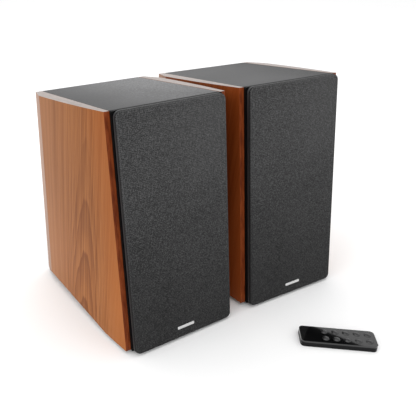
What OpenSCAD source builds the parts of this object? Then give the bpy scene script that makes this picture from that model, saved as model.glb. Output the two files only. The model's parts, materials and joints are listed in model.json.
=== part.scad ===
// Pair of two-way bookshelf speakers for a desk, with a small infrared remote.
// Millimetres, +Z up. The left box is passive, the right one holds the amplifier.
// Each speaker is drawn in its own frame: X across, Y = 0 at the back face, the front at -Y, Z = 0 at the desk.

/* [Cabinet] */
// Height of a cabinet without its feet
cab_h = 250; // [246:1:256]
// Width of the wrapped box between the two wood sides
core_w = 130; // [129:1:134]
// Depth of a wood side along its bottom edge
side_depth = 195; // [193:0.1:205]
// Backward lean of the front, in degrees
tilt = 9; // [7:0.1:9.5]
// How much lower the top is at the back than at the front
top_fall = 17.3; // [10:0.1:18.5]
// Wall thickness of the box at its top, bottom and back
wall = 12; // [10:0.5:14]
// Wall thickness of the box behind the wood sides
side_wall = 9; // [8.5:0.1:9.5]
// How far the box and baffle stand ahead of the wood sides
lip = 3; // [2.6:0.1:3.1]
// Thickness of the front baffle
baffle_t = 15; // [12:1:18]
// Height of the rubber feet
foot_h = 4; // [4:0.5:6]

/* [Wood sides] */
// Thickness of a wood side at the back
side_back = 13.5; // [12.5:0.1:14]
// Thickness of a wood side at its lower front corner
side_front = 6; // [5.5:0.1:8]
// Bulge of the bowed face above the straight line between those two
side_bow = 4.2; // [3.5:0.1:5]
// Thickness of a wood side's bevelled back edge
back_edge = 7.5; // [6:0.1:9]
// Thickness of a wood side's bevelled bottom edge
bottom_edge = 10; // [8:0.1:12]

/* [Drivers] */
// Height of the woofer's centre up the sloping front
woofer_s = 76; // [75:1:77]
// Height of the tweeter's centre up the sloping front
tweeter_s = 186; // [182:1:190]
// Inner radius of the rear reflex port
port_r = 17; // [14:0.5:18]
// Height of the port's centre above the desk
port_z = 200; // [196:1:202]

/* [Grille] */
// Width of a cloth-covered grille
grille_w = 129; // [127:1:131]
// Height of a grille along the sloping front
grille_h = 257; // [250:0.5:257]
// Distance that a grille hangs below the wood side, along the slope
grille_drop = 3.5; // [1:0.5:3.5]
// Corner radius of a grille
grille_r = 6.8; // [5:0.1:9]
// Distance from the wood's front plane to the outer face of the cloth
grille_front = 10.5; // [10.2:0.1:12]

/* [Remote] */
// Length of the remote
remote_l = 80; // [78:1:90]
// Width of the remote
remote_w = 26; // [26:1:34]
// Thickness of the remote's lower shell
remote_base_t = 5.2; // [5:0.1:6]
// Thickness of the remote's glossy top
remote_face_t = 2; // [1.8:0.1:2.4]

/* [Arrangement] */
// Distance from the left speaker's centre to the right one's, across
pair_x = 168.7; // [166:0.1:220]
// Distance that the right speaker's back stands behind the left one's
pair_y = -1.8; // [-10:0.1:10]
// Turn of the right speaker about the vertical, in degrees
pair_yaw = -2.3; // [-5:0.1:0]
// Place of the remote across the desk, from the left speaker's centre
remote_x = 136.8; // [120:0.1:140]
// Place of the remote ahead of the back faces
remote_y = -296.8; // [-330:0.1:-295]
// Turn of the remote about the vertical, in degrees
remote_yaw = -39.1; // [-45:0.1:-30]

/* [Hidden] */
$fn = 64;

// Shift that puts the middle of the whole set's footprint at the origin
set_x = -83.8;
set_y = 159.4;

top_z = foot_h + cab_h;
slope_h = cab_h / cos(tilt);
wood = [0.62, 0.36, 0.17];
vinyl = [0.16, 0.16, 0.17];
black = [0.05, 0.05, 0.055];
cloth = [0.22, 0.22, 0.23];
steel = [0.6, 0.6, 0.62];

// Y of the sloping front plane at height z, o millimetres ahead of the wood's front edge
function fy(z, o = 0) = -(side_depth - (z - foot_h) * tan(tilt)) - o / cos(tilt);
// The top falls towards the back: its slope, its height at depth y, and its height where it meets the plane
// o millimetres ahead of the wood's front, both lowered by w
fall = top_fall / -fy(top_z);
function tz(y, w = 0) = top_z - top_fall - w - fall * y;
function zt(o, w = 0) = (top_z - top_fall - w + fall * (side_depth + o / cos(tilt) + foot_h * tan(tilt))) / (1 + fall * tan(tilt));

// Arc of the bowed side, square to the sloping front: centre and radius from the two end thicknesses and the bulge
chord = sqrt(pow(side_depth, 2) + pow(side_back - side_front, 2));
bow_r = (pow(chord / 2, 2) + pow(side_bow, 2)) / (2 * side_bow);
arc_x = core_w / 2 + (side_back + side_front) / 2 + (side_bow - bow_r) * side_depth / chord;
arc_y = side_depth / 2 - (side_bow - bow_r) * (side_back - side_front) / chord;

// ---- placing ----
module at_left() { translate([set_x, set_y, 0]) children(); }
module at_right() { translate([set_x + pair_x, set_y + pair_y, 0]) rotate([0, 0, pair_yaw]) children(); }
module at_remote() { translate([set_x + remote_x, set_y + remote_y, 0]) rotate([0, 0, remote_yaw]) children(); }
// Frame on the sloping front: Z up the slope from the wood's lower edge, -Y straight out of it
module front() { translate([0, -side_depth, foot_h]) rotate([-tilt, 0, 0]) children(); }
// Frame of a driver: +Z out of the baffle, Z = 0 at the baffle's face
module driver(s) { front() translate([0, -lip, s]) rotate([90, 0, 0]) children(); }
// A side profile in Y and Z, carried across the width
module prism(w, pts) { translate([-w / 2, 0, 0]) rotate([90, 0, 90]) linear_extrude(w) polygon(pts); }
module bar_x(r, x0, x1) { translate([x0, 0, 0]) rotate([0, 90, 0]) cylinder(r = r, h = x1 - x0); }
module bar_y(r, y0, y1) { translate([0, y1, 0]) rotate([90, 0, 0]) cylinder(r = r, h = y1 - y0); }
// Rectangle with round corners, from two bars and four discs
module round_rect(w, h, r) {
  square([w - 2 * r, h], center = true);
  square([w, h - 2 * r], center = true);
  for (x = [-1, 1], y = [-1, 1]) translate([x * (w / 2 - r), y * (h / 2 - r)]) circle(r = r);
}

// ---- box ----
module box_shell() {
  difference() {
    prism(core_w, [[0, foot_h], [0, tz(0)], [fy(zt(lip), lip), zt(lip)], [fy(foot_h, lip), foot_h]]);
    prism(core_w - 2 * side_wall, [[-wall, foot_h + wall], [-wall, tz(-wall, wall)],
      [fy(zt(8, wall), 8), zt(8, wall)], [fy(foot_h + wall, 8), foot_h + wall]]);
    // small chamfers that leave a groove beside each wood side
    for (s = [-1, 1]) translate([s * core_w / 2, 0, tz(0)]) rotate([-atan(fall), 0, 0]) rotate([0, 45, 0]) cube([1.6, 500, 1.6], center = true);
    translate([0, 0, port_z]) bar_y(port_r + 2.6, -40, 5);
  }
}
module left_cabinet() {
  color(vinyl) difference() {
    box_shell();
    translate([-27.2, -30, 60 - 17.2]) cube([54.4, 40, 34.4]);
  }
}
module right_cabinet() {
  color(vinyl) difference() {
    box_shell();
    translate([-47, -30, 28]) cube([94, 40, 132]);
    // pilot holes for the rear panel's screws
    for (x = [-49, 49], z = [25.5, 94, 162.5]) translate([x, 0, z]) bar_y(1.05, -8, 1);
  }
}
// Bowed side, drawn on the right and mirrored for the left, bevelled along its back and bottom edges
module wood_side(left) {
  mirror([left ? 1 : 0, 0, 0]) difference() {
    intersection() {
      translate([core_w / 2 + 20, 0, 0]) prism(40, [[0, foot_h], [0, tz(0)], [fy(zt(0)), zt(0)], [fy(foot_h), foot_h]]);
      front() translate([arc_x, arc_y, -60]) cylinder(r = bow_r, h = 400, $fn = 256);
    }
    translate([core_w / 2 + back_edge, 0, 0]) rotate([0, 0, 15]) translate([0, -80, -10]) cube([60, 100, 400]);
    translate([core_w / 2 + bottom_edge, 0, foot_h]) rotate([0, 27, 0]) translate([0, -300, -60]) cube([60, 400, 120]);
  }
}
module baffle() {
  b0 = foot_h + wall;
  b1 = zt(lip, wall);
  b2 = zt(lip - baffle_t, wall);
  color(black) difference() {
    prism(core_w - 2 * side_wall, [[fy(b0, lip), b0], [fy(b1, lip), b1], [fy(b2, lip - baffle_t), b2], [fy(b0, lip - baffle_t), b0]]);
    driver(woofer_s) {
      translate([0, 0, -3]) cylinder(r = 53.15, h = 10);
      translate([0, 0, -40]) cylinder(r = 49.9, h = 60);
      for (a = [45:90:315]) rotate(a) translate([51.2, 0, -12]) cylinder(r = 1.05, h = 12);
    }
    driver(tweeter_s) {
      translate([0, 0, -3]) cylinder(r = 39.15, h = 10);
      translate([0, 0, -40]) cylinder(r = 22, h = 60);
      for (a = [90, 210, 330]) rotate(a) translate([33, 0, -12]) cylinder(r = 1.05, h = 12);
    }
    // sockets for the grille's pegs
    front() for (x = [-50.5, 50.5], z = [20, 232]) translate([x, 0, z]) bar_y(2.56, -lip - 1, 8);
  }
}
module feet() {
  color("dimgray") for (x = [-48, 48], y = [-20, -180]) translate([x, y, 0]) cylinder(r = 8, h = foot_h);
}
module port_tube() {
  color(black) translate([0, 0, port_z]) rotate([90, 0, 0]) rotate_extrude() polygon([
    [port_r, 90], [port_r + 2.5, 90], [port_r + 2.5, 0], [port_r + 9, 0], [port_r + 9, -1.2], [port_r + 8, -2],
    [port_r + 3.6, -2], [port_r + 1.2, 1], [port_r, 5]]);
}

// ---- woofer ----
module woofer_basket() {
  color([0.12, 0.12, 0.13]) driver(woofer_s) difference() {
    rotate_extrude() polygon([[44.5, 0], [53, 0], [53, -3], [49.4, -3], [34, -34], [34, -36], [16, -36], [16, -34], [31.5, -34], [44.5, -6]]);
    for (a = [0:60:300]) rotate(a) translate([30, -8, -30]) cube([22, 16, 20]);
    for (a = [45:90:315]) rotate(a) translate([51.2, 0, -5]) cylinder(r = 1.05, h = 10);
  }
}
module woofer_magnet() {
  color([0.3, 0.3, 0.32]) driver(woofer_s) rotate_extrude() polygon([
    [0, -37], [11, -37], [11, -54], [16, -54], [16, -40], [12.7, -40], [12.7, -36], [30, -36], [30, -40], [34, -40], [34, -54], [30, -54], [30, -58], [0, -58]]);
}
module woofer_cone() {
  color([0.1, 0.1, 0.11]) driver(woofer_s) rotate_extrude() polygon([
    [11.5, -50], [12.1, -50], [12.1, -24.6], [39, -2.2], [39, -1], [17.5, -18.4], [15, -15.8], [12, -13.9], [8, -12.3], [4, -11.5],
    [0, -11.2], [0, -11.9], [4, -12.2], [8, -13], [11.6, -14.5], [14.4, -16.3], [16.6, -18.6], [11.5, -22.6]]);
}
module woofer_suspension() {
  color([0.07, 0.07, 0.07]) driver(woofer_s) {
    // half-roll surround on the front, then the flat spider behind
    rotate_extrude() polygon(concat(
      [[36.6, -0.7], [38.5, -0.7]],
      [for (a = [180:-15:0]) [42.3 + 3.1 * cos(a), 0.3 + 3.1 * sin(a)]],
      [[45.4, 0.05], [48.5, 0.05], [48.5, 0.75], [46.1, 0.75]],
      [for (a = [0:15:180]) [42.3 + 3.8 * cos(a), 0.3 + 3.8 * sin(a)]],
      [[36.6, 0.3]]));
    rotate_extrude() polygon([[12.4, -30.6], [33, -30.6], [33, -30], [12.4, -30]]);
  }
}

// ---- tweeter ----
module tweeter() {
  color([0.1, 0.1, 0.11]) driver(tweeter_s) difference() {
    rotate_extrude() polygon([[20, 0], [39, 0], [39, -3], [21, -3], [21, -22], [0, -22], [0, -5], [8.8, -5], [8.8, -16], [10.8, -16], [10.8, -2.8], [13.2, -2.8], [13.2, -1.8]]);
    for (a = [90, 210, 330]) rotate(a) translate([33, 0, -5]) cylinder(r = 1.05, h = 10);
  }
}
module tweeter_dome() {
  color([0.2, 0.2, 0.21]) driver(tweeter_s) rotate_extrude() polygon([
    [9.4, -12], [9.8, -12], [9.8, -2], [12.8, -2], [12.8, -1.6], [11.3, -0.9], [9.8, -1.4], [9, 0.3], [7, 2.2], [4.5, 3.4], [2, 3.9], [0, 4],
    [0, 3.6], [2, 3.5], [4.4, 3], [6.7, 1.9], [8.6, 0.1], [9.4, -1.6]]);
}

// ---- grille ----
module slab(w, h, r, o0, o1) {
  front() translate([0, -o0, grille_h / 2 - grille_drop]) rotate([90, 0, 0]) linear_extrude(o1 - o0) round_rect(w, h, r);
}
module grille_frame() {
  color([0.14, 0.14, 0.15]) difference() {
    union() {
      slab(grille_w - 0.6, grille_h - 0.6, grille_r - 0.3, 4.2, 6.9);
      slab(grille_w - 1.6, grille_h - 1.6, grille_r - 0.8, 6.8, grille_front - 1);
      front() for (x = [-50.5, 50.5], z = [20, 232]) translate([x, 0, z]) bar_y(2.5, -5, 4.5);
    }
    front() translate([0, -3.5, 69]) rotate([90, 0, 0]) linear_extrude(12) round_rect(94, 114, 10);
    front() translate([0, -3.5, 188]) rotate([90, 0, 0]) linear_extrude(12) round_rect(94, 104, 10);
  }
}
module grille_cloth() {
  color(cloth) difference() {
    slab(grille_w, grille_h, grille_r, 6.95, grille_front);
    slab(grille_w - 1.5, grille_h - 1.5, grille_r - 0.75, 6.5, grille_front - 0.95);
  }
}

// ---- screws ----
module screw(r_head, h_head, len) { cylinder(r = r_head, h = h_head); translate([0, 0, -len]) cylinder(r = 1, h = len); }
module driver_screws() {
  driver(woofer_s) for (a = [45:90:315]) rotate(a) translate([51.2, 0, 0]) screw(1.7, 0.9, 11);
  driver(tweeter_s) for (a = [90, 210, 330]) rotate(a) translate([33, 0, 0]) screw(2.2, 0.9, 11);
}
module left_screws() { color(steel) driver_screws(); }
module right_screws() {
  color(steel) {
    driver_screws();
    for (x = [-49, 49], z = [25.5, 94, 162.5]) translate([x, 2, z]) rotate([-90, 0, 0]) screw(2.4, 1.2, 9);
  }
}

// ---- push terminals ----
module cup(cx, y0, z0) {
  color(black) translate([cx, y0, z0]) {
    difference() {
      union() {
        translate([-32, 0, -22]) cube([64, 2.5, 44]);
        translate([-27, -16, -17]) cube([54, 16, 34]);
      }
      translate([-25, -14, -15]) cube([50, 20, 30]);
    }
    // ears with the pin bores
    difference() {
      union() {
        for (x = [-25, 21.4]) translate([x, -14, -12.5]) cube([3.6, 6.5, 7]);
        translate([-1.6, -14, -12.5]) cube([3.2, 6.5, 7]);
      }
      translate([0, -10.5, -9]) bar_x(1.56, -24.6, 24.6);
    }
  }
}
// One spring lever: side is -1 or 1, its pin runs along X
module lever(cx, y0, z0, side) {
  translate([cx, y0, z0]) mirror([side < 0 ? 1 : 0, 0, 0]) translate([0, -10.5, -9]) {
    bar_x(2.4, 2.1, 20.9);
    bar_x(1.5, 0.3, 24.2);
    translate([11.5, 0, 0]) prism(18.8, [[-1, -2], [1.5, -1.6], [6, 2], [6, 20], [4.6, 21], [2.6, 21], [1.5, 4], [-1.5, 1.5]]);
  }
}
module left_terminal_cup() { cup(0, 0, 60); }
module left_terminal_red() { color("firebrick") lever(0, 0, 60, 1); }
module left_terminal_black() { color([0.1, 0.1, 0.1]) lever(0, 0, 60, -1); }
module output_cup() { cup(14, 2, 138); }
module output_red() { color("firebrick") lever(14, 2, 138, 1); }
module output_black() { color([0.1, 0.1, 0.1]) lever(14, 2, 138, -1); }
module left_crossover() {
  color("darkgreen") translate([0, -24, 60]) {
    translate([-22, 0, -14]) cube([44, 1.6, 28]);
    for (x = [-18, 18], z = [-10, 10]) translate([x, 0, z]) bar_y(2, 0, 8);
    translate([-9, 0, 0]) bar_y(9, -10, 0);
    translate([12, 0, 3]) bar_y(5.5, -14, 0);
  }
}

// ---- amplifier and rear panel ----
module amp_panel() {
  color([0.13, 0.13, 0.14]) difference() {
    union() {
      translate([-52, 0, 22]) cube([104, 2, 144]);
      // cooling fins
      for (i = [0:10]) translate([-36 + i * 7.2 - 0.8, 2, 70]) cube([1.6, 6, 38]);
      // switch housing behind the panel
      translate([-42.7, -12, 32]) cube([17.4, 12, 24]);
    }
    translate([-40.7, -10, 33.8]) cube([13.4, 20, 20.4]);
    translate([-34, -3, 44]) bar_x(1.36, -10, 10);
    translate([24 - 11.2, -5, 44 - 7.7]) cube([22.4, 10, 15.4]);
    translate([14 - 27.2, -5, 138 - 17.2]) cube([54.4, 10, 34.4]);
    for (x = [-49, 49], z = [25.5, 94, 162.5]) translate([x, 0, z]) bar_y(1.05, -1, 3);
  }
}
module power_rocker() {
  color([0.06, 0.06, 0.06]) translate([-34, -3, 44]) rotate([-8, 0, 0]) {
    prism(12.4, [[4.4, -9.2], [2.8, 0], [4.4, 9.2], [-2, 9.2], [-5, 2], [-5, -2], [-2, -9.2]]);
    bar_x(1.3, -8.2, 8.2);
  }
}
module rca_sockets() {
  color([0.08, 0.08, 0.08]) translate([-36, 2, 138]) {
    translate([-14, 0, -14]) cube([28, 1.5, 28]);
    for (x = [-6.6, 6.6], z = [-6.6, 6.6]) translate([x, 0, z]) difference() {
      bar_y(4.15, 1.5, 9.5);
      bar_y(1.65, 1.5, 12);
    }
  }
}
module mains_inlet() {
  color([0.07, 0.07, 0.07]) translate([24, 0, 44]) {
    difference() {
      union() {
        translate([-11, -12, -7.5]) cube([22, 14, 15]);
        translate([-13, 2, -9.5]) cube([26, 2, 19]);
      }
      translate([-3.4, 0, 0]) bar_y(4.4, -10, 6);
      translate([3.4, 0, 0]) bar_y(4.4, -10, 6);
      translate([-3.4, -10, -4.4]) cube([6.8, 16, 8.8]);
    }
    for (x = [-4.3, 4.3]) translate([x, 0, 0]) bar_y(1.2, -10.5, 0);
  }
}
module amp_board() {
  color("darkgreen") {
    translate([-42, -34, 34]) cube([84, 1.6, 118]);
    for (x = [-38, 38], z = [66, 114]) translate([x, 0, z]) bar_y(2.5, -33, 0);
    translate([-30, -54, 108]) cube([60, 20, 34]);
    for (x = [-20, 8]) translate([x, 0, 82]) bar_y(9, -58, -33.5);
  }
}
module transformer() {
  color([0.35, 0.33, 0.3]) {
    translate([-28, -98, foot_h + wall]) cube([56, 3, 6]);
    translate([-25, -95, foot_h + wall]) cube([50, 40, 42]);
    translate([-17, -103, foot_h + wall + 8]) cube([34, 56, 26]);
  }
}

// ---- side controls on the right speaker's outer wood side ----
ctl_y = -52;
ctl_z = 172;
module oblong(r, x0, x1) {
  translate([0, ctl_y, ctl_z]) {
    for (z = [-29.2, 29.2]) translate([0, 0, z]) bar_x(r, x0, x1);
    translate([x0, -r, -29.2]) cube([x1 - x0, 2 * r, 58.4]);
  }
}
module control_tray() {
  h = core_w / 2;
  color(black) difference() {
    oblong(18.8, h + 3, h + 11.6);
    oblong(17.2, h + 5.6, h + 20);
    for (z = [-29, 0, 29]) translate([0, ctl_y, ctl_z + z]) bar_x(3.06, h, h + 8);
  }
}
module knob(z) {
  h = core_w / 2;
  color([0.08, 0.08, 0.09]) translate([h, ctl_y, ctl_z + z]) difference() {
    union() {
      bar_x(3, 3.2, 7);
      bar_x(10.5, 6.1, 14.6);
      bar_x(9.9, 14.5, 15.2);
    }
    translate([14.2, -0.5, 4]) cube([3, 1, 8]);
  }
}
module right_outer_side() {
  color(wood) difference() {
    wood_side(false);
    oblong(18.9, core_w / 2 + 3, core_w / 2 + 30);
  }
}

// ---- remote ----
function key_pos(i) = [-13.6 + (i % 5) * 11.45, i < 5 ? 5.6 : -5.6];
module remote_base() {
  color([0.05, 0.05, 0.055]) difference() {
    linear_extrude(remote_base_t) round_rect(remote_l, remote_w, 4.5);
    translate([0, 0, 1.2]) linear_extrude(9) round_rect(remote_l - 3.2, remote_w - 3.2, 3);
    // mouth of the battery tray, in the left end
    translate([-remote_l / 2 - 5, -11.2, 1.2]) cube([10, 22.4, 3]);
  }
}
module remote_face() {
  color([0.02, 0.02, 0.022]) difference() {
    translate([0, 0, remote_base_t]) linear_extrude(remote_face_t) round_rect(remote_l, remote_w, 4.5);
    for (i = [0:9]) translate([key_pos(i)[0], key_pos(i)[1], 0]) cylinder(r = 3.8, h = 20);
  }
}
module battery_tray() {
  color([0.08, 0.08, 0.08]) difference() {
    union() {
      intersection() {
        translate([-remote_l / 2 - 1, -11, 1.4]) cube([3, 22, 2.6]);
        linear_extrude(9) round_rect(remote_l, remote_w, 4.5);
      }
      translate([1.9 - remote_l / 2, -11, 1.4]) cube([20.7, 22, 1.9]);
    }
    translate([11.9 - remote_l / 2, 0, 1.8]) cylinder(r = 10.1, h = 5);
  }
}
module remote_button(i) {
  color([0.12, 0.12, 0.13]) translate([key_pos(i)[0], key_pos(i)[1], 0]) {
    translate([0, 0, remote_base_t - 1]) cylinder(r = 4.3, h = 0.8);
    intersection() {
      translate([0, 0, remote_base_t - 0.6]) cylinder(r = 3.6, h = 6);
      translate([0, 0, remote_base_t + remote_face_t + 0.8 - 9]) sphere(r = 9);
    }
  }
}

at_left() left_cabinet();
at_left() color(wood) wood_side(true);  // left_outer_side
at_left() color(wood) wood_side(false);  // left_inner_side
at_left() baffle();  // left_baffle
at_left() woofer_basket();  // left_woofer_basket
at_left() woofer_magnet();  // left_woofer_magnet
at_left() woofer_cone();  // left_woofer_cone
at_left() woofer_suspension();  // left_woofer_suspension
at_left() tweeter();  // left_tweeter
at_left() tweeter_dome();  // left_tweeter_dome
at_left() port_tube();  // left_port_tube
at_left() left_terminal_cup();
at_left() left_terminal_red();
at_left() left_terminal_black();
at_left() left_crossover();
at_left() grille_frame();  // left_grille_frame
at_left() grille_cloth();  // left_grille_cloth
at_left() feet();  // left_feet
at_left() left_screws();
at_right() right_cabinet();
at_right() color(wood) wood_side(true);  // right_inner_side
at_right() right_outer_side();
at_right() baffle();  // right_baffle
at_right() woofer_basket();  // right_woofer_basket
at_right() woofer_magnet();  // right_woofer_magnet
at_right() woofer_cone();  // right_woofer_cone
at_right() woofer_suspension();  // right_woofer_suspension
at_right() tweeter();  // right_tweeter
at_right() tweeter_dome();  // right_tweeter_dome
at_right() port_tube();  // right_port_tube
at_right() grille_frame();  // right_grille_frame
at_right() grille_cloth();  // right_grille_cloth
at_right() feet();  // right_feet
at_right() right_screws();
at_right() amp_panel();
at_right() rca_sockets();
at_right() power_rocker();
at_right() mains_inlet();
at_right() output_cup();
at_right() output_red();
at_right() output_black();
at_right() amp_board();
at_right() transformer();
at_right() control_tray();
at_right() knob(29);  // treble_knob
at_right() knob(0);  // bass_knob
at_right() knob(-29);  // volume_knob
at_remote() remote_base();
at_remote() remote_face();
at_remote() battery_tray();
at_remote() remote_button(0);  // remote_button_1
at_remote() remote_button(1);  // remote_button_2
at_remote() remote_button(2);  // remote_button_3
at_remote() remote_button(3);  // remote_button_4
at_remote() remote_button(4);  // remote_button_5
at_remote() remote_button(5);  // remote_button_6
at_remote() remote_button(6);  // remote_button_7
at_remote() remote_button(7);  // remote_button_8
at_remote() remote_button(8);  // remote_button_9
at_remote() remote_button(9);  // remote_button_10
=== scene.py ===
import json
import math

import bmesh
import bpy
from mathutils import Matrix, Vector


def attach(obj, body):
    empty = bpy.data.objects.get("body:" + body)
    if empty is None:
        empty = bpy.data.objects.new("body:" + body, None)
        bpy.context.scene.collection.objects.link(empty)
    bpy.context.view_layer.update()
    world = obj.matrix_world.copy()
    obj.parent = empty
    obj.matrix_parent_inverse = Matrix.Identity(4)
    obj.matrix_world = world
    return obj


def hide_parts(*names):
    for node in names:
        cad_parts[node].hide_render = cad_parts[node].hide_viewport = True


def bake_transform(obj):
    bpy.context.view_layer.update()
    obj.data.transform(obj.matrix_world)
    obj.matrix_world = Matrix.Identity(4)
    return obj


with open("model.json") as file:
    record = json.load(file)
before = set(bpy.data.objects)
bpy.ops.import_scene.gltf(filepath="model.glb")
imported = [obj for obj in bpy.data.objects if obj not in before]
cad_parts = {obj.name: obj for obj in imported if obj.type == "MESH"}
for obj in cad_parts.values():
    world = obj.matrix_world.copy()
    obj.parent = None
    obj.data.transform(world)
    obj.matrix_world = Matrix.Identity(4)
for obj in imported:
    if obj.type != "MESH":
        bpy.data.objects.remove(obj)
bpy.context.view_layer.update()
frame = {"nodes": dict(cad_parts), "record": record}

# ---------------------------------------------------------------- frames
MM = 0.001
TILT = math.radians(9.0)
DEPTH, FOOT, TOP, CORE = 195.0, 4.0, 254.0, 130.0
SIDE_BACK, SIDE_FRONT, SIDE_BOW = 13.5, 6.0, 4.2
BACK_EDGE, BOTTOM_EDGE = 7.5, 10.0
TOP_DEPTH = DEPTH - (TOP - FOOT) * math.tan(TILT)
FALL = 17.3 / TOP_DEPTH
SET = (-83.8, 159.4)


def placed(dx, dy, yaw):
    return Matrix.Translation(((SET[0] + dx) * MM, (SET[1] + dy) * MM, 0)) @ Matrix.Rotation(math.radians(yaw), 4, "Z")


PLACE = {"left": placed(0, 0, 0), "right": placed(168.7, -1.8, -2.3), "remote": placed(136.8, -296.8, -39.1)}
# frame on the sloping front: X across, Y up the slope from the wood's lower edge, Z straight out of it
FRONT = Matrix(((1, 0, 0, 0), (0, math.sin(TILT), -math.cos(TILT), -DEPTH * MM),
                (0, math.cos(TILT), math.sin(TILT), FOOT * MM), (0, 0, 0, 1)))


# ---------------------------------------------------------------- camera
def camera():
    yaw, pitch, roll, focal = math.radians(-31.609), math.radians(27.201), math.radians(0.195), 552.58
    back = Vector((math.sin(yaw) * math.cos(pitch), -math.cos(yaw) * math.cos(pitch), math.sin(pitch)))
    right = (-back).cross(Vector((0, 0, 1))).normalized()
    up = right.cross(-back)
    r = math.cos(roll) * right + math.sin(roll) * up
    u = -math.sin(roll) * right + math.cos(roll) * up
    data = bpy.data.cameras.new("camera")
    data.sensor_fit, data.sensor_width = "HORIZONTAL", 36
    data.lens = focal / 416 * 36
    data.shift_x, data.shift_y = (208 - 130) / 416, (211 - 208) / 416
    data.clip_start, data.clip_end = 0.01, 60
    cam = bpy.data.objects.new("camera", data)
    bpy.context.scene.collection.objects.link(cam)
    m = Matrix((r, u, back)).transposed().to_4x4()
    m.translation = Vector((-0.38822, -0.42169, 0.40271))
    cam.matrix_world = m
    bpy.context.scene.camera = cam


camera()


# ---------------------------------------------------------------- material helpers
class Net:
    """A material's node tree, with short calls for the nodes used here."""

    def __init__(self, name):
        self.mat = bpy.data.materials.new(name)
        self.mat.use_nodes = True
        self.t = self.mat.node_tree
        self.t.nodes.clear()
        self.out = self.t.nodes.new("ShaderNodeOutputMaterial")
        self.b = self.t.nodes.new("ShaderNodeBsdfPrincipled")
        self.t.links.new(self.b.outputs[0], self.out.inputs[0])
        self.coord = self.t.nodes.new("ShaderNodeTexCoord").outputs["Object"]

    def set(self, **values):
        names = {"color": "Base Color", "rough": "Roughness", "metal": "Metallic", "spec": "Specular IOR Level", "ior": "IOR",
                 "coat": "Coat Weight", "coat_rough": "Coat Roughness", "coat_ior": "Coat IOR", "sheen": "Sheen Weight",
                 "sheen_rough": "Sheen Roughness", "sheen_tint": "Sheen Tint", "normal": "Normal", "coat_normal": "Coat Normal"}
        for k, v in values.items():
            s = self.b.inputs[names[k]]
            if isinstance(v, bpy.types.NodeSocket):
                self.t.links.new(v, s)
            else:
                s.default_value = (*v, 1) if isinstance(v, tuple) and len(v) == 3 else v
        return self

    def node(self, kind, **props):
        n = self.t.nodes.new(kind)
        for k, v in props.items():
            setattr(n, k, v)
        return n

    def put(self, node, **inputs):
        for k, v in inputs.items():
            s = node.inputs[int(k[1:])] if k[0] == "i" and k[1:].isdigit() else node.inputs[k.replace("_", " ")]
            if isinstance(v, bpy.types.NodeSocket):
                self.t.links.new(v, s)
            else:
                s.default_value = v
        return node

    def map(self, scale=(1, 1, 1), rot=(0, 0, 0), loc=(0, 0, 0), src=None):
        n = self.node("ShaderNodeMapping")
        return self.put(n, Vector=src or self.coord, Location=loc, Rotation=rot, Scale=scale).outputs[0]

    def noise(self, vec, scale=1.0, detail=3.0, rough=0.5, distort=0.0):
        n = self.node("ShaderNodeTexNoise")
        return self.put(n, Vector=vec, Scale=scale, Detail=detail, Roughness=rough, Distortion=distort).outputs["Fac"]

    def wave(self, vec, scale=1.0, axis="X", distort=0.0, detail=0.0, dscale=1.0, profile="SIN"):
        n = self.node("ShaderNodeTexWave", wave_type="BANDS", bands_direction=axis, wave_profile=profile)
        n = self.put(n, Vector=vec, Scale=scale, Distortion=distort, Detail=detail)
        n.inputs["Detail Scale"].default_value = dscale
        return n.outputs["Fac"]

    def voronoi(self, vec, scale=1.0, feature="F1", rnd=1.0):
        n = self.node("ShaderNodeTexVoronoi", feature=feature)
        return self.put(n, Vector=vec, Scale=scale, Randomness=rnd).outputs["Distance"]

    def math(self, op, a, b=0.0, c=None, clamp=False):
        n = self.node("ShaderNodeMath", operation=op, use_clamp=clamp)
        self.put(n, i0=a, i1=b)
        if c is not None:
            self.put(n, i2=c)
        return n.outputs[0]

    def ramp(self, fac, stops, smooth=False):
        n = self.node("ShaderNodeValToRGB")
        n.color_ramp.interpolation = "EASE" if smooth else "LINEAR"
        e = n.color_ramp.elements
        while len(e) < len(stops):
            e.new(0.5)
        for el, (p, c) in zip(e, stops):
            el.position = p
            el.color = (*c, 1) if isinstance(c, tuple) else (c, c, c, 1)
        self.t.links.new(fac, n.inputs[0])
        return n.outputs[0]

    def mix(self, fac, a, b, mode="MIX"):
        n = self.node("ShaderNodeMix", data_type="RGBA", blend_type=mode, clamp_factor=True)
        for i, v in ((0, fac), (6, a), (7, b)):
            if isinstance(v, bpy.types.NodeSocket):
                self.t.links.new(v, n.inputs[i])
            else:
                n.inputs[i].default_value = (*v, 1) if isinstance(v, tuple) else v
        return n.outputs[2]

    def range(self, v, lo, hi, to_lo=0.0, to_hi=1.0):
        n = self.node("ShaderNodeMapRange", interpolation_type="SMOOTHSTEP")
        return self.put(n, Value=v, From_Min=lo, From_Max=hi, To_Min=to_lo, To_Max=to_hi).outputs[0]

    def bump(self, height, strength=0.2, distance=0.0005, after=None):
        n = self.node("ShaderNodeBump")
        self.put(n, Height=height, Strength=strength, Distance=distance)
        if after is not None:
            self.t.links.new(after, n.inputs["Normal"])
        return n.outputs[0]

    def axes(self, vec=None):
        n = self.node("ShaderNodeSeparateXYZ")
        self.t.links.new(vec or self.coord, n.inputs[0])
        return n.outputs[0], n.outputs[1], n.outputs[2]


def turned(which):
    """Location and rotation that bring row coordinates into a piece's own frame, for CAD nodes, which sit in row coordinates."""
    inverse = PLACE[which].inverted()
    return {"loc": tuple(inverse.translation), "rot": (0, 0, inverse.to_euler().z)}


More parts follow.
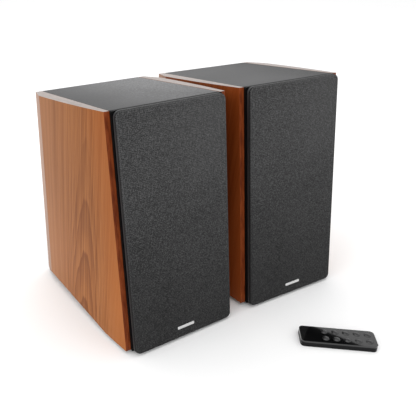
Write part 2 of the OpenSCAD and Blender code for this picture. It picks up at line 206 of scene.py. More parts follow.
# ---------------------------------------------------------------- materials
def wood_material(name, seed, centre, shade_tone=(1.0, 1.0, 1.0)):
    """Lacquered veneer: fine upright lines and faint nested arches round a centre line, in the side's own frame (grain along Z)."""
    m = Net(name)
    x, y, z = m.axes()
    wander = m.noise(m.map((9, 9, 2.2), loc=(seed, seed * 0.7, 0.3)), 1.0, 2.0, 0.5)
    yw = m.math("ADD", y, m.math("MULTIPLY", m.math("SUBTRACT", wander, 0.5), 0.022))
    yw = m.math("ADD", yw, m.math("MULTIPLY", z, 0.06))
    dy = m.math("SUBTRACT", yw, centre[0])
    arch = m.math("ADD", m.math("MULTIPLY", m.math("MULTIPLY", dy, dy), 5200.0), m.math("MULTIPLY", m.math("SUBTRACT", z, centre[1]), 26.0))
    wob = m.noise(m.map((60, 60, 6), loc=(seed * 2, 0, 0)), 1.0, 3.0, 0.55)
    arch = m.math("ADD", arch, m.math("MULTIPLY", wob, 1.3))
    ring = m.ramp(m.math("FRACT", m.math("MULTIPLY", arch, 0.62)), [(0.0, 0.0), (0.72, 0.55), (0.93, 1.0), (1.0, 0.1)], smooth=True)
    # the arches fade out away from the centre line and up the board
    near = m.math("MULTIPLY", m.range(m.math("ABSOLUTE", dy), 0.012, 0.050, 1.0, 0.0), m.range(z, 0.10, 0.20, 1.0, 0.25))
    broad = m.noise(m.map((20, 30, 1.1), loc=(seed, 0, seed)), 1.0, 2.0, 0.5)
    lines = m.node("ShaderNodeCombineXYZ")
    m.put(lines, i0=x, i1=yw, i2=z)
    streak = m.noise(m.map((170, 300, 3.0), loc=(0, seed, 0), src=lines.outputs[0]), 1.0, 4.0, 0.6, 0.1)
    fine = m.noise(m.map((420, 560, 7), loc=(seed, 0, 0), src=lines.outputs[0]), 1.0, 3.0, 0.6)
    pore = m.noise(m.map((900, 1500, 45), loc=(seed, 3, 0), src=lines.outputs[0]), 1.0, 1.0, 0.5)
    f = m.math("MULTIPLY_ADD", m.math("MULTIPLY", ring, near), 0.22, m.math("MULTIPLY", streak, 0.55))
    f = m.math("ADD", f, m.math("MULTIPLY", broad, 0.40))
    f = m.math("ADD", m.math("SUBTRACT", f, 0.09), m.math("MULTIPLY", fine, 0.36))

    # tint darkens every colour by the given tone, a painted shade used only on the right speaker's inner board
    def tint(c):
        return tuple(v * t for v, t in zip(c, shade_tone))

    col = m.ramp(m.range(f, 0.40, 0.80), [(0.0, tint((0.350, 0.138, 0.045))), (0.5, tint((0.275, 0.100, 0.030))), (1.0, tint((0.180, 0.057, 0.016)))])
    col = m.mix(m.range(pore, 0.58, 0.70, 0.0, 0.35), col, tint((0.15, 0.050, 0.015)))
    # painted reflection: the board is painted a little paler and greyer toward the back, where the lacquer's sheen lies
    col = m.mix(m.range(y, -0.13, 0.0, 0.0, 0.55), col, tint((0.345, 0.165, 0.085)))
    # and painted a deeper orange near the front edge, where that painted reflection fades out
    out = m.math("ADD", m.math("MULTIPLY", m.math("ADD", y, DEPTH * MM), math.cos(TILT)),
                 m.math("MULTIPLY", m.math("SUBTRACT", z, FOOT * MM), -math.sin(TILT)))
    col = m.mix(m.range(out, 0.0, 0.045, 0.55, 0.0), col, tint((0.345, 0.095, 0.014)))
    # painted shade: every board is painted a little darker and warmer toward the top
    top_painted_shade = m.range(z, 0.03, 0.17)
    col = m.mix(top_painted_shade, col, m.mix(1.0, col, (0.83, 0.81, 0.76), "MULTIPLY"))
    bump = m.bump(m.math("ADD", streak, m.math("MULTIPLY", pore, 0.5)), 0.08, 0.0002)
    m.set(color=col, rough=m.range(streak, 0.3, 0.7, 0.40, 0.48), spec=0.09, normal=bump)
    return m.mat


def wood_edge_material(name):
    """The lacquered top, bottom and back edges: a pale pinkish grey that is a painted reflection of the bright
    surroundings, with short slanting figure.
    """
    m = Net(name)
    v = m.map((260, 70, 90), rot=(0, 0, 0.5))
    a = m.noise(v, 1.0, 4.0, 0.6)
    b = m.noise(m.map((900, 260, 300), rot=(0, 0, 0.5)), 1.0, 2.0, 0.5)
    f = m.math("MULTIPLY_ADD", b, 0.4, m.math("MULTIPLY", a, 0.7))
    col = m.ramp(m.range(f, 0.3, 0.85), [(0.0, (0.270, 0.205, 0.175)), (0.5, (0.205, 0.148, 0.122)), (1.0, (0.120, 0.074, 0.052))])
    m.set(color=col, rough=0.36, spec=0.5, coat=0.35, coat_rough=0.2, normal=m.bump(a, 0.08, 0.0002))
    return m.mat


def wood_bevel_material(name):
    """The long bevels: a narrow lacquered flat between the board's face and its top, in wood colour painted paler and
    greyer with a painted reflection of the lacquer's sheen.
    """
    m = Net(name)
    a = m.noise(m.map((300, 300, 8)), 1.0, 4.0, 0.6)
    col = m.ramp(m.range(a, 0.3, 0.72), [(0.0, (0.33, 0.180, 0.105)), (0.5, (0.27, 0.128, 0.068)), (1.0, (0.185, 0.078, 0.036))])
    m.set(color=col, rough=0.40, spec=0.18, normal=m.bump(a, 0.08, 0.0002))
    return m.mat


def wood_front_material(name):
    """The narrow edge that faces forward: painted darker and redder than the board's face, a painted shade, straight
    grain.
    """
    m = Net(name)
    a = m.noise(m.map((400, 400, 9)), 1.0, 4.0, 0.6)
    col = m.ramp(m.range(a, 0.3, 0.72), [(0.0, (0.235, 0.050, 0.012)), (0.5, (0.170, 0.033, 0.007)), (1.0, (0.110, 0.019, 0.004))])
    m.set(color=col, rough=0.42, spec=0.12, normal=m.bump(a, 0.08, 0.0002))
    return m.mat


def vinyl_painted_light_material(which):
    """Textured black wrap on the cabinet, in the speaker's own frame: the grey on its body is painted reflection, and
    the black on its front lip is painted shade.
    """
    m = Net("vinyl_" + which)
    own = m.map(**turned(which))
    x, y, z = m.axes(own)
    grain = m.voronoi(own, 1300.0)
    soft = m.noise(own, 540.0, 2.0, 0.6)
    blot = m.noise(own, 9.0, 2.0, 0.5)
    f = m.math("MULTIPLY_ADD", soft, 0.75, m.math("MULTIPLY", blot, 0.25))
    speck = m.ramp(m.range(f, 0.3, 0.7), [(0.0, 0.25), (0.5, 0.95), (1.0, 1.9)])
    # painted reflection: the wrap is painted paler toward one side and, on the left speaker, toward the back
    if which == "left":
        pale = m.math("MULTIPLY", m.range(x, -0.075, 0.045), m.range(y, -0.17, -0.06, 0.55, 1.0))
        col = m.mix(pale, (0.030, 0.030, 0.031), (0.125, 0.125, 0.127))
    else:
        col = m.mix(m.range(x, 0.0, 0.07), (0.042, 0.042, 0.043), (0.018, 0.018, 0.0185))
    col = m.mix(1.0, col, speck, "MULTIPLY")
    # painted shade: the wrap is painted near black on the front lip, with less specular there
    out = m.math("ADD", m.math("MULTIPLY", m.math("ADD", y, DEPTH * MM), -math.cos(TILT)),
                 m.math("MULTIPLY", m.math("SUBTRACT", z, FOOT * MM), math.sin(TILT)))
    lip = m.range(out, -0.0028, -0.0018)
    col = m.mix(lip, col, (0.0045, 0.0045, 0.0047))
    m.set(color=col, rough=m.range(soft, 0.3, 0.7, 0.44, 0.56), spec=m.range(lip, 0.0, 1.0, 0.30, 0.05),
          normal=m.bump(m.math("ADD", grain, soft), 0.25, 0.00025))
    return m.mat


def black_board_material():
    m = Net("black_board")
    n = m.noise(m.coord, 900.0, 3.0, 0.6)
    col = m.ramp(m.range(n, 0.3, 0.7), [(0.0, (0.008, 0.008, 0.0085)), (1.0, (0.017, 0.017, 0.018))])
    m.set(color=col, rough=m.range(n, 0.3, 0.7, 0.5, 0.62), spec=0.35, normal=m.bump(n, 0.2, 0.0002))
    return m.mat


def cloth_material():
    """Open speaker cloth: a plain weave with slubs and a mottle, in the grille's own frame (X across, Y up the slope)."""
    m = Net("cloth")
    fine = m.noise(m.coord, 2600.0, 2.0, 0.6)
    wx = m.wave(m.coord, 1 / 0.0009 * 0.159, "X", 1.2, 2.0, 1.5)
    wy = m.wave(m.coord, 1 / 0.0009 * 0.159, "Y", 1.2, 2.0, 1.5)
    weave = m.math("MAXIMUM", wx, wy)
    mott = m.noise(m.coord, 1000.0, 2.0, 0.7)
    big = m.noise(m.coord, 14.0, 2.0, 0.5)
    x, y, z = m.axes()
    f = m.math("MULTIPLY_ADD", mott, 1.3, m.math("MULTIPLY", weave, 0.18))
    f = m.math("ADD", f, m.math("MULTIPLY", big, 0.12))
    col = m.ramp(m.range(f, 0.46, 1.20), [(0.0, (0.006, 0.006, 0.0062)), (0.5, (0.040, 0.040, 0.0405)), (1.0, (0.125, 0.125, 0.126))])
    # a little more light is held in the nap toward the top
    # painted shade and painted light: the cloth is painted darker toward the bottom and paler toward the top, most to
    # the right
    col = m.mix(m.range(y, -0.13, 0.11, 0.56, 0.06), col, (0.006, 0.006, 0.0062))
    col = m.mix(m.math("MULTIPLY", m.range(y, -0.05, 0.13, 0.0, 0.30), m.range(x, -0.06, 0.06, 0.35, 1.0)), col, (0.095, 0.095, 0.096))
    # painted shade: the cloth is painted near black where it turns back into the gap behind its rolled edge
    col = m.mix(m.range(z, 0.0078, 0.0092), (0.003, 0.003, 0.003), col)
    h = m.math("ADD", m.math("MULTIPLY", weave, 0.5), m.math("ADD", mott, m.math("MULTIPLY", fine, 0.3)))
    m.set(color=col, rough=0.9, spec=0.12, normal=m.bump(h, 0.8, 0.0006), sheen=0.04, sheen_rough=0.5)
    return m.mat


def plastic_material(name, lo, hi, rough, scale=1400.0, strength=0.15, spec=0.45, coat=0.0):
    m = Net(name)
    n = m.noise(m.coord, scale, 3.0, 0.6)
    w = m.noise(m.coord, 35.0, 2.0, 0.5)
    col = m.ramp(m.range(m.math("MULTIPLY_ADD", n, 0.5, m.math("MULTIPLY", w, 0.5)), 0.3, 0.7), [(0.0, lo), (1.0, hi)])
    m.set(color=col, rough=m.range(n, 0.3, 0.7, rough - 0.06, rough + 0.06), spec=spec, normal=m.bump(n, strength, 0.00015))
    if coat:
        m.set(coat=coat, coat_rough=0.06)
    return m.mat


def gloss_material(name, col, dust=0.02):
    m = Net(name)
    w = m.noise(m.coord, 60.0, 2.0, 0.5)
    d = m.noise(m.coord, 2500.0, 2.0, 0.5)
    c = m.ramp(m.range(w, 0.3, 0.7), [(0.0, tuple(x * 0.8 for x in col)), (1.0, tuple(x * 1.25 for x in col))])
    m.set(color=c, rough=m.range(d, 0.35, 0.75, 0.03, 0.03 + dust), spec=0.5, coat=0.6, coat_rough=0.03)
    return m.mat


def metal_material(name, lo, hi, rough, stretch=(1, 1, 1), scale=300.0, metal=1.0):
    m = Net(name)
    n = m.noise(m.map(stretch), scale, 4.0, 0.6)
    col = m.ramp(m.range(n, 0.3, 0.7), [(0.0, lo), (1.0, hi)])
    m.set(color=col, rough=m.range(n, 0.3, 0.7, rough - 0.07, rough + 0.07), metal=metal, normal=m.bump(n, 0.08, 0.0001))
    return m.mat


def cone_material():
    m = Net("cone")
    fibre = m.noise(m.map((1, 1, 1)), 260.0, 4.0, 0.7, 1.5)
    col = m.ramp(m.range(fibre, 0.3, 0.7), [(0.0, (0.012, 0.012, 0.013)), (0.6, (0.024, 0.024, 0.025)), (1.0, (0.045, 0.045, 0.047))])
    m.set(color=col, rough=0.62, spec=0.4, normal=m.bump(fibre, 0.35, 0.0003))
    return m.mat


def board_material():
    m = Net("board")
    n = m.noise(m.coord, 220.0, 3.0, 0.5)
    tr = m.voronoi(m.map((1, 1, 1)), 240.0, "F1", 0.2)
    col = m.mix(m.range(tr, 0.25, 0.3), (0.03, 0.16, 0.06), (0.012, 0.075, 0.03))
    m.set(color=col, rough=m.range(n, 0.3, 0.7, 0.3, 0.42), spec=0.5, normal=m.bump(tr, 0.2, 0.0002))
    return m.mat


MAT = {
    "edge": wood_edge_material("wood_edge_sheen"), "bevel": wood_bevel_material("wood_bevel_sheen"), "front": wood_front_material("wood_front_shaded"),
    "vinyl": vinyl_painted_light_material("left"), "vinyl_right": vinyl_painted_light_material("right"), "black_board": black_board_material(), "cloth": cloth_material(),
    "plastic": plastic_material("plastic", (0.014, 0.014, 0.015), (0.027, 0.027, 0.028), 0.5),
    "rubber": plastic_material("rubber", (0.010, 0.010, 0.010), (0.020, 0.020, 0.020), 0.72, 500.0, 0.2, 0.3),
    "dome": plastic_material("dome", (0.030, 0.030, 0.032), (0.060, 0.060, 0.063), 0.55, 1800.0, 0.3, 0.4),
    "basket": plastic_material("basket", (0.016, 0.016, 0.017), (0.030, 0.030, 0.031), 0.42, 900.0, 0.25),
    "amp_plate": plastic_material("amp_plate", (0.012, 0.012, 0.013), (0.030, 0.030, 0.032), 0.46, 1100.0, 0.4),
    "gloss_black": gloss_material("gloss_black", (0.004, 0.004, 0.0043)),
    "key": plastic_material("key", (0.012, 0.012, 0.0125), (0.020, 0.020, 0.0205), 0.26, 2600.0, 0.04, 0.5),
    "remote_shell": plastic_material("remote_shell", (0.004, 0.004, 0.0043), (0.008, 0.008, 0.0085), 0.22, 1400.0, 0.05, 0.12),
    "red_plastic": gloss_material("red_plastic", (0.42, 0.016, 0.014), 0.08),
    "magnet": metal_material("magnet", (0.05, 0.05, 0.052), (0.10, 0.10, 0.105), 0.5, scale=180.0, metal=0.4),
    "steel": metal_material("steel", (0.42, 0.42, 0.43), (0.62, 0.62, 0.63), 0.28),
    "iron": metal_material("iron", (0.10, 0.09, 0.085), (0.20, 0.18, 0.17), 0.5, (1, 1, 12)),
    "satin_metal": metal_material("satin_metal", (0.60, 0.60, 0.60), (0.78, 0.775, 0.77), 0.24, (1, 30, 1)),
    "cone": cone_material(), "board": board_material(),
}
WOOD = {
    ("left", "outer"): wood_material("wood_left_outer", 1.3, (-0.112, 0.055)),
    ("left", "inner"): wood_material("wood_left_inner", 4.1, (-0.080, 0.09)),
    # painted shade: the right speaker's inner board is a darker, redder copy of the wood
    ("right", "inner"): wood_material("wood_right_inner_shaded", 7.7, (-0.120, 0.04), (0.78, 0.55, 0.50)),
    ("right", "outer"): wood_material("wood_right_outer", 9.2, (-0.095, 0.06)),
}


# ---------------------------------------------------------------- mesh helpers
def new_object(name, bm, mats, place=None, body=None, smooth=40.0):
    """A mesh object from bm (metres, in its own frame), riding on a body."""
    for f in bm.faces:
        f.smooth = True
    for e in bm.edges:
        e.smooth = len(e.link_faces) == 2 and e.calc_face_angle(0.0) < math.radians(smooth)
    me = bpy.data.meshes.new(name)
    bm.to_mesh(me)
    bm.free()
    for m in mats:
        me.materials.append(m)
    o = bpy.data.objects.new(name, me)
    bpy.context.scene.collection.objects.link(o)
    if place is not None:
        o.matrix_world = place
    if body:
        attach(o, body)
    return o


def weighted(o):
    mod = o.modifiers.new("normals", "WEIGHTED_NORMAL")
    mod.keep_sharp = True
    mod.weight = 60
    return o


def lathe(bm, profile, frame_m, segments=48, close=False, mat=0):
    """Turns (radius, height) points in metres round frame_m's Z axis."""
    rings = []
    for r, h in profile:
        if r < 1e-7:
            rings.append([bm.verts.new(frame_m @ Vector((0, 0, h)))])
        else:
            rings.append([bm.verts.new(frame_m @ Vector((r * math.cos(2 * math.pi * i / segments), r * math.sin(2 * math.pi * i / segments), h)))
                          for i in range(segments)])
    pairs = list(zip(rings[:-1], rings[1:])) + ([(rings[-1], rings[0])] if close else [])
    for a, b in pairs:
        for i in range(segments):
            j = (i + 1) % segments
            if len(a) == 1 and len(b) == 1:
                continue
            if len(a) == 1:
                f = bm.faces.new((a[0], b[j], b[i]))
            elif len(b) == 1:
                f = bm.faces.new((a[i], a[j], b[0]))
            else:
                f = bm.faces.new((a[i], a[j], b[j], b[i]))
            f.material_index = mat


def rounded_outline(w, h, r, steps=8):
    """Points and outward directions of a rectangle with round corners, anticlockwise, in millimetres."""
    pts = []
    for cx, cy, a0 in ((w / 2 - r, h / 2 - r, 0), (-w / 2 + r, h / 2 - r, 90), (-w / 2 + r, -h / 2 + r, 180), (w / 2 - r, -h / 2 + r, 270)):
        for k in range(steps + 1):
            a = math.radians(a0 + 90 * k / steps)
            pts.append(((cx + r * math.cos(a), cy + r * math.sin(a)), (math.cos(a), math.sin(a))))
    return pts


def slab(bm, outline, levels, frame_m, mat=0, caps=(True, True)):
    """Skins an outline through levels of (how far outward, how high), and closes its two ends."""
    loops = [[bm.verts.new(frame_m @ Vector(((p[0] + n[0] * o) * MM, (p[1] + n[1] * o) * MM, z * MM))) for p, n in outline] for o, z in levels]
    n = len(outline)
    for a, b in zip(loops[:-1], loops[1:]):
        for i in range(n):
            j = (i + 1) % n
            f = bm.faces.new((a[i], a[j], b[j], b[i]))
            f.material_index = mat
    if caps[0]:
        bm.faces.new(list(reversed(loops[0]))).material_index = mat
    if caps[1]:
        bm.faces.new(loops[-1]).material_index = mat
    return loops


# ---------------------------------------------------------------- wood sides
def arc_data():
    chord = math.hypot(DEPTH, SIDE_BACK - SIDE_FRONT)
    r = ((chord / 2) ** 2 + SIDE_BOW ** 2) / (2 * SIDE_BOW)
    return (CORE / 2 + (SIDE_BACK + SIDE_FRONT) / 2 + (SIDE_BOW - r) * DEPTH / chord,
            DEPTH / 2 - (SIDE_BOW - r) * (SIDE_BACK - SIDE_FRONT) / chord, r)


ARC_X, ARC_Y, ARC_R = arc_data()
CTL_Y, CTL_Z = -52.0, 172.0


def trim(bm, point, normal):
    """Cuts away what lies beyond a plane and closes the cut."""
    r = bmesh.ops.bisect_plane(bm, geom=bm.verts[:] + bm.edges[:] + bm.faces[:], dist=1e-7,
                               plane_co=Vector(point) * MM, plane_no=Vector(normal), clear_outer=True)
    cut = [g for g in r["geom_cut"] if isinstance(g, bmesh.types.BMEdge)]
    if cut:
        bmesh.ops.edgeloop_fill(bm, edges=cut)


def wood_side(name, sign, key, node, side, body, pocket=False):
    """A bowed board: its curve runs along the sloping front, and planes cut its bottom, top, back and two long bevels."""
    bm = bmesh.new()
    cols, rows = 40, 12
    grid_o, grid_i = [], []
    for k in range(rows + 1):
        v = -40 + 320 * k / rows
        ro, ri = [], []
        for i in range(cols + 1):
            d = 215 * i / cols
            x = ARC_X + math.sqrt(ARC_R ** 2 - (d - ARC_Y) ** 2)
            y = -DEPTH + d * math.cos(TILT) + v * math.sin(TILT)
            z = FOOT - d * math.sin(TILT) + v * math.cos(TILT)
            ro.append(bm.verts.new((x * MM, y * MM, z * MM)))
            ri.append(bm.verts.new((CORE / 2 * MM, y * MM, z * MM)))
        grid_o.append(ro)
        grid_i.append(ri)
    for g in (grid_o, grid_i):
        for k in range(rows):
            for i in range(cols):
                bm.faces.new((g[k][i], g[k][i + 1], g[k + 1][i + 1], g[k + 1][i]))
    for k in (0, rows):
        for i in range(cols):
            bm.faces.new((grid_o[k][i], grid_i[k][i], grid_i[k][i + 1], grid_o[k][i + 1]))
    for i in (0, cols):
        for k in range(rows):
            bm.faces.new((grid_o[k][i], grid_o[k + 1][i], grid_i[k + 1][i], grid_i[k][i]))
    bmesh.ops.recalc_face_normals(bm, faces=bm.faces[:])
    trim(bm, (0, 0, FOOT), (0, 0, -1))
    trim(bm, (0, 0, 0), (0, 1, 0))
    trim(bm, (0, -TOP_DEPTH, TOP), (0, FALL, 1))
    trim(bm, (CORE / 2 + BACK_EDGE, 0, 0), (math.cos(math.radians(15)), math.sin(math.radians(15)), 0))
    trim(bm, (CORE / 2 + BOTTOM_EDGE, 0, FOOT), (math.cos(math.radians(27)), 0, -math.sin(math.radians(27))))
    if sign < 0:
        for v in bm.verts:
            v.co.x = -v.co.x
    bmesh.ops.remove_doubles(bm, verts=bm.verts[:], dist=1e-6)
    bmesh.ops.recalc_face_normals(bm, faces=bm.faces[:])
    if pocket:
        # the controls' pocket: an upright slot with round ends, cut from the outer face down to 3 mm over the cabinet
        cutter = bmesh.new()
        loop = [((p[0], p[1]), n) for p, n in rounded_outline(37.8, 37.8 + 58.4, 18.899, 14)]
        m = Matrix(((0, 0, 1, (CORE / 2 + 3) * MM), (1, 0, 0, CTL_Y * MM), (0, 1, 0, CTL_Z * MM), (0, 0, 0, 1)))
        slab(cutter, loop, [(0, 0), (0, 30)], m)
        bmesh.ops.remove_doubles(cutter, verts=cutter.verts[:], dist=1e-6)
        bmesh.ops.recalc_face_normals(cutter, faces=cutter.faces[:])
        ca = bpy.data.meshes.new("cut_a")
        bm.to_mesh(ca)
        cb = bpy.data.meshes.new("cut_b")
        cutter.to_mesh(cb)
        cutter.free()
        oa, ob = bpy.data.objects.new("cut_a", ca), bpy.data.objects.new("cut_b", cb)
        for o in (oa, ob):
            bpy.context.scene.collection.objects.link(o)
        mod = oa.modifiers.new("cut", "BOOLEAN")
        mod.operation, mod.solver, mod.object = "DIFFERENCE", "EXACT", ob
        bpy.context.view_layer.update()
        cut = bpy.data.meshes.new_from_object(oa.evaluated_get(bpy.context.evaluated_depsgraph_get()))
        bm.free()
        bm = bmesh.new()
        bm.from_mesh(cut)
        for o in (oa, ob):
            bpy.data.objects.remove(o)
        for d in (ca, cb, cut):
            bpy.data.meshes.remove(d)
    edges = [e for e in bm.edges if len(e.link_faces) == 2 and e.calc_face_angle(0.0) > math.radians(9)]
    if pocket:
        def in_pocket(v):
            y, z = v.co.y / MM - CTL_Y, v.co.z / MM - CTL_Z
            dz = max(0, abs(z) - 29.2)
            return math.hypot(y, dz) < 19.5
        inside = [e for e in edges if all(in_pocket(v) for v in e.verts)]
        edges = [e for e in edges if e not in inside]
    bmesh.ops.bevel(bm, geom=edges, offset=1.1 * MM, segments=3, profile=0.5, affect="EDGES", clamp_overlap=True)
    out = Vector((0, -math.cos(TILT), math.sin(TILT)))
    for f in bm.faces:
        n = f.normal
        # forward faces take the darker front wood, a painted shade
        if n.dot(out) > 0.8:
            f.material_index = 2
        # top, bottom and back faces take the pale edge wood, a painted reflection
        elif abs(n.z) > 0.6 or n.y > 0.8:
            f.material_index = 1
        # the long bevels take the paler, greyer bevel wood, partly a painted reflection
        elif n.z < -0.3 or n.y > 0.18:
            f.material_index = 3
    o = new_object(name, bm, [WOOD[key], MAT["edge"], MAT["front"], MAT["bevel"]], PLACE[side], body)
    weighted(o)
    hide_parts(node)
    return o


wood_side("left_wood_outer", -1, ("left", "outer"), "left_outer_side", "left", "left_speaker")
wood_side("left_wood_inner", 1, ("left", "inner"), "left_inner_side", "left", "left_speaker")
wood_side("right_wood_inner", -1, ("right", "inner"), "right_inner_side", "right", "right_speaker")
wood_side("right_wood_outer", 1, ("right", "outer"), "right_outer_side", "right", "right_speaker", pocket=True)


# ---------------------------------------------------------------- grille cloth
GW, GH, GDROP, GR, GFRONT, GBACK = 129.0, 257.0, 3.5, 6.8, 10.5, 6.95
CLOTH_T = 0.5


def grille_cloth(side):
    """Cloth stretched over the frame: a flat face that rolls over rounded edges and is tucked against the frame's rear rib."""
    bm = bmesh.new()
    edge = 2.4
    w, h, r = GW - 2 * edge - CLOTH_T * 2, GH - 2 * edge - CLOTH_T * 2, GR - edge
    nc = 6
    xs = [(-w / 2, -w / 2 + r, nc), (-w / 2 + r, w / 2 - r, 24), (w / 2 - r, w / 2, nc)]
    ys = [(-h / 2, -h / 2 + r, nc), (-h / 2 + r, h / 2 - r, 48), (h / 2 - r, h / 2, nc)]

    def line(parts):
        out = []
        for a, b, n in parts:
            out += [a + (b - a) * i / n for i in range(n)]
        return out + [parts[-1][1]]

    gx, gy = line(xs), line(ys)

    def corner(x, y):
        cx, cy = max(-w / 2 + r, min(w / 2 - r, x)), max(-h / 2 + r, min(h / 2 - r, y))
        u, v = (x - cx) / r, (y - cy) / r
        if abs(u) < 1e-9 or abs(v) < 1e-9:
            return x, y
        return cx + u * math.sqrt(1 - v * v / 2) * r, cy + v * math.sqrt(1 - u * u / 2) * r

    z0 = GFRONT - CLOTH_T * 0.5
    grid = [[bm.verts.new((*[c * MM for c in corner(x, y)], z0 * MM)) for x in gx] for y in gy]
    for j in range(len(gy) - 1):
        for i in range(len(gx) - 1):
            bm.faces.new((grid[j][i], grid[j][i + 1], grid[j + 1][i + 1], grid[j + 1][i]))
    nx, ny = len(gx), len(gy)
    loop = ([(0, i) for i in range(nx)] + [(j, nx - 1) for j in range(1, ny)] + [(ny - 1, i) for i in range(nx - 2, -1, -1)]
            + [(j, 0) for j in range(ny - 2, 0, -1)])
    prev = [grid[j][i] for j, i in loop]
    base = []
    for j, i in loop:
        x, y = corner(gx[i], gy[j])
        cx, cy = max(-w / 2 + r, min(w / 2 - r, x)), max(-h / 2 + r, min(h / 2 - r, y))
        d = Vector((x - cx, y - cy))
        n = d.normalized() if d.length > 1e-6 else Vector((0, 0))
        base.append((x, y, n))
    steps = [(edge * math.sin(math.radians(a)), z0 - edge * (1 - math.cos(math.radians(a)))) for a in (15, 30, 45, 60, 75, 90)]
    steps += [(edge, GBACK + 0.45), (edge - 0.1, GBACK + 0.2)]
    for o, z in steps:
        cur = [bm.verts.new(((x + n.x * o) * MM, (y + n.y * o) * MM, z * MM)) for x, y, n in base]
        for k in range(len(loop)):
            q = (k + 1) % len(loop)
            bm.faces.new((prev[k], cur[k], cur[q], prev[q]))
        prev = cur
    bmesh.ops.recalc_face_normals(bm, faces=bm.faces[:])
    if bm.faces[0].normal.z < 0:
        bmesh.ops.reverse_faces(bm, faces=bm.faces[:])
    m = PLACE[side] @ FRONT @ Matrix.Translation((0, (GH / 2 - GDROP) * MM, 0))
    o = new_object(side + "_cloth", bm, [MAT["cloth"]], m, side + "_grille", smooth=80)
    mod = o.modifiers.new("thickness", "SOLIDIFY")
    mod.thickness, mod.offset = CLOTH_T * MM, 0
    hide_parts(side + "_grille_cloth")
    return o


def badge(side):
    """A small plain bar of satin metal, pinned to the cloth near the lower edge."""
    bm = bmesh.new()
    m = Matrix.Translation((0, (-GDROP + 13.5) * MM, GFRONT * MM))
    slab(bm, rounded_outline(22.0, 3.4, 0.9, 4), [(0, -0.3), (0, 0.5), (-0.06, 0.65), (-0.18, 0.76), (-0.35, 0.8)], m)
    o = new_object(side + "_badge_bar", bm, [MAT["satin_metal"]], PLACE[side] @ FRONT, side + "_grille")
    return weighted(o)


def suspension(side):
    """Half-roll surround in two rings that meet at the crest, and a corrugated spider. The inner ring rides on no body;
    its transform is baked in.
    """
    m = PLACE[side] @ FRONT @ Matrix.Translation((0, 76 * MM, 3 * MM))

    def arc(r, a0, a1, step):
        n = round(abs(a1 - a0) / step)
        return [(42.3 + r * math.cos(math.radians(a0 + (a1 - a0) * k / n)), 0.3 + r * math.sin(math.radians(a0 + (a1 - a0) * k / n))) for k in range(n + 1)]

    def ring(name, profile):
        bm = bmesh.new()
        lathe(bm, [(r * MM, h * MM) for r, h in profile], Matrix.Identity(4), 72, close=True)
        bmesh.ops.recalc_face_normals(bm, faces=bm.faces[:])
        return new_object(name, bm, [MAT["rubber"]], m, None, smooth=50)

    inner = ring(side + "_surround_inner", [(36.6, -0.75), (38.6, -0.75)] + arc(3.1, 180, 90.4, 11.2) + arc(3.8, 90.4, 180, 11.2) + [(38.4, -0.2), (36.6, -0.2)])
    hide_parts(side + "_woofer_suspension")
    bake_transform(inner)
    outer = ring(side + "_surround_outer", arc(3.1, 89.6, 0, 11.2) + [(45.4, 0.05), (48.5, 0.05), (48.5, 0.75), (46.1, 0.75)] + arc(3.8, 0, 89.6, 11.2))
    waves = [(12.4 + 20.6 * k / 60, 0.35 * math.sin(2 * math.pi * 5 * k / 60) * min(1, k / 4, (60 - k) / 4)) for k in range(61)]
    spider = ring(side + "_spider", [(r, -30.55 + h) for r, h in waves] + [(r, -30.05 + h) for r, h in reversed(waves)])
    for o in (outer, spider):
        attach(o, side + "_speaker")


for s in ("left", "right"):
    grille_cloth(s)
    badge(s)
    suspension(s)


# ---------------------------------------------------------------- CAD nodes: materials
SLOT_OF = {x["node"]: x["material_slot"] for x in frame["record"]["subparts"]}
for name, obj in frame["nodes"].items():
    key = SLOT_OF[name]
    mat = MAT.get(key) or WOOD[("left", "outer")]
    if key == "vinyl" and name.startswith("right"):
        mat = MAT["vinyl_right"]
    if name.startswith("remote_button"):
        mat = MAT["key"]
    if name == "remote_base":
        mat = MAT["remote_shell"]
    obj.data.materials.clear()
    obj.data.materials.append(mat)


# ---------------------------------------------------------------- floor and light
def floor():
    me = bpy.data.meshes.new("floor")
    me.from_pydata([(-14, -14, 0), (14, -14, 0), (14, 14, 0), (-14, 14, 0)], [], [(0, 1, 2, 3)])
    o = bpy.data.objects.new("floor", me)
    bpy.context.scene.collection.objects.link(o)
    n = Net("floor")
    v = n.noise(n.coord, 2.0, 2.0, 0.5)
    n.set(color=n.ramp(v, [(0.0, (0.94, 0.94, 0.94)), (1.0, (0.96, 0.96, 0.96))]), rough=0.9, spec=0.1)
    me.materials.append(n.mat)


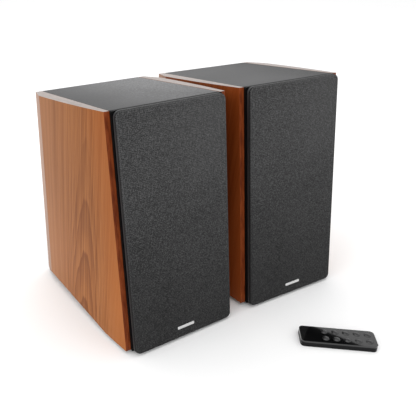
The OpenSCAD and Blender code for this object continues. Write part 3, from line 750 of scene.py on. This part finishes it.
def area(name, place, target, size, energy, color=(1, 1, 1)):
    d = bpy.data.lights.new(name, "AREA")
    d.shape, d.size, d.size_y, d.energy, d.color = "RECTANGLE", size[0], size[1], energy, color
    o = bpy.data.objects.new(name, d)
    bpy.context.scene.collection.objects.link(o)
    o.location = place
    o.rotation_euler = (Vector(target) - Vector(place)).to_track_quat("-Z", "Y").to_euler()
    return o


def flag():
    """A small black card of the studio, met only by glossy rays: its straight edge crosses the remote's glossy face."""
    spot = PLACE["remote"]
    a, b = spot @ Vector((-0.0225, 0.0129, 0.0072)), spot @ Vector((0.0232, -0.0135, 0.0072))
    eye = Vector((-0.38822, -0.42169, 2 * 0.0072 - 0.40271))
    far = 2.1
    p, q = eye + (a - eye) * far, eye + (b - eye) * far
    dark = spot @ Vector((-0.03, -0.01, 0.0072))
    side = eye + (dark - eye) * far
    along = (q - p).normalized()
    away = (side - p) - (side - p).dot(along) * along
    away.normalize()
    p, q = p - along * 0.14, q + along * 0.14
    me = bpy.data.meshes.new("flag")
    me.from_pydata([tuple(v) for v in (p, q, q + away * 0.2, p + away * 0.2)], [], [(0, 1, 2, 3)])
    o = bpy.data.objects.new("flag", me)
    bpy.context.scene.collection.objects.link(o)
    o.visible_camera = o.visible_diffuse = o.visible_shadow = o.visible_transmission = o.visible_volume_scatter = False
    n = Net("flag")
    v = n.noise(n.coord, 40.0, 2.0, 0.5)
    n.set(color=n.ramp(v, [(0.0, (0.0005, 0.0005, 0.0005)), (1.0, (0.001, 0.001, 0.001))]), rough=1.0, spec=0.0)
    me.materials.append(n.mat)


floor()
flag()
world = bpy.data.worlds.new("world")
bpy.context.scene.world = world
world.use_nodes = True
bg = world.node_tree.nodes["Background"]
bg.inputs[0].default_value = (1, 1, 1, 1)
bg.inputs[1].default_value = 1.02
area("softbox_left", (-1.9, -0.1, 0.9), (-0.1, 0, 0.12), (1.6, 1.6), 12)
area("softbox_top", (0.1, 0.5, 1.9), (0, 0, 0.1), (2.0, 2.0), 12)

scene = bpy.context.scene
scene.view_settings.view_transform = "Standard"
scene.view_settings.look = "None"
